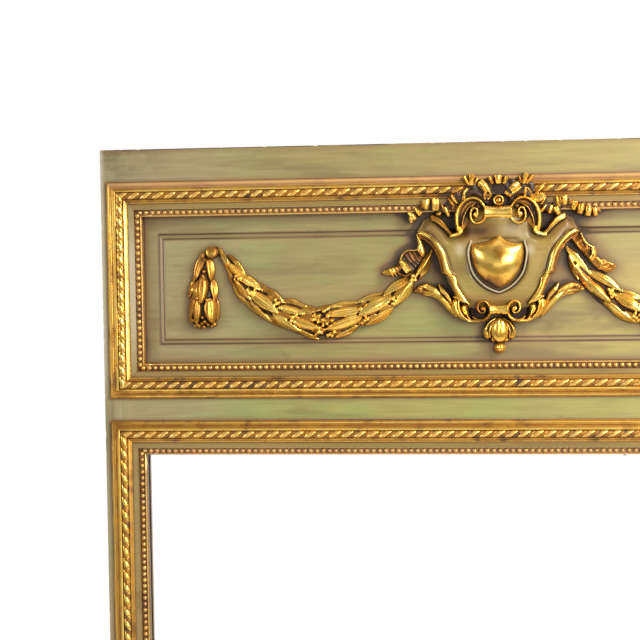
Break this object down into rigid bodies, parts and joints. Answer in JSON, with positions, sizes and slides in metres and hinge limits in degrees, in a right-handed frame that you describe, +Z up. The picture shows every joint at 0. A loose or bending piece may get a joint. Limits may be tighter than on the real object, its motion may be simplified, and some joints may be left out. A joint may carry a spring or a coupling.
{
  "type": "pier mirror",
  "caption": "Tall pier mirror: green painted frame with parcel-gilt mouldings, a carved frieze of shield cartouche and leaf swags above, and hanging rings on the back.",
  "frame": {"origin": "middle of the frame's back plane at its bottom edge; the back plane is y = 0", "axes": "X to the right as seen from the front, front faces -Y, +Y points into the wall, +Z up"},
  "size_m": [1.1366, 0.0594, 1.9],
  "materials": {
    "green_paint": "aged sage green paint, brushed, satin",
    "green_paint_carved": "aged sage green paint over carving, brown in the hollows",
    "gilding": "worn gilding over red-brown bole",
    "glass": "clear polished plate",
    "silver": "silvered back of the plate",
    "bare_softwood": "bare aged softwood, sawn",
    "bare_hardwood": "bare hardwood",
    "steel_screw": "dull steel",
    "hanger_iron": "blackened wrought iron"
  },
  "bodies": {
    "frame": {"acanthus_left": "gilding", "acanthus_right": "gilding", "backboard_screws": "steel_screw", "bottom_rail": "green_paint", "cartouche_base_scroll": "gilding", "cartouche_ground": "green_paint_carved", "cartouche_screws": "steel_screw", "cartouche_shield": "gilding", "cartouche_strap_left": "gilding", "cartouche_strap_right": "gilding", "cartouche_top_scroll": "gilding", "drop_left": "gilding", "drop_right": "gilding", "frieze_backboard": "bare_softwood", "frieze_moulding_bottom": "gilding", "frieze_moulding_left": "gilding", "frieze_moulding_right": "gilding", "frieze_moulding_top": "gilding", "frieze_panel": "green_paint", "frieze_pearls_bottom": "gilding", "frieze_pearls_left": "gilding", "frieze_pearls_right": "gilding", "frieze_pearls_top": "gilding", "glazing_blocks": "bare_hardwood", "hanger_plates": "hanger_iron", "hanger_screws": "steel_screw", "mid_rail": "green_paint", "mirror_backboard_1": "bare_softwood", "mirror_backboard_2": "bare_softwood", "mirror_backboard_3": "bare_softwood", "mirror_backboard_4": "bare_softwood", "mirror_backboard_5": "bare_softwood", "mirror_glass": "glass", "mirror_moulding_bottom": "gilding", "mirror_moulding_left": "gilding", "mirror_moulding_right": "gilding", "mirror_moulding_top": "gilding", "mirror_pearls_bottom": "gilding", "mirror_pearls_left": "gilding", "mirror_pearls_right": "gilding", "mirror_pearls_top": "gilding", "mirror_silvering": "silver", "moulding_pins": "steel_screw", "pendant_bud": "gilding", "ribbon_bow": "gilding", "ribbon_tail_left": "gilding", "ribbon_tail_right": "gilding", "stile_left": "green_paint", "stile_right": "green_paint", "swag_left": "gilding", "swag_pegs": "gilding", "swag_ribbon_left": "gilding", "swag_ribbon_right": "gilding", "swag_right": "gilding", "tenon_pegs": "bare_hardwood", "top_rail": "green_paint"},
    "ring_left": {"hanger_ring_left": "hanger_iron"},
    "ring_right": {"hanger_ring_right": "hanger_iron"}
  },
  "joints": [
    {"name": "ring_left_swing", "type": "hinge", "parent": "frame", "child": "ring_left", "pos_m": [-0.38, -0.0053, 1.866], "axis": [1, 0, 0], "range_deg": [0, 175]},
    {"name": "ring_right_swing", "type": "hinge", "parent": "frame", "child": "ring_right", "pos_m": [0.38, -0.0053, 1.866], "axis": [1, 0, 0], "range_deg": [0, 175]}
  ]
}
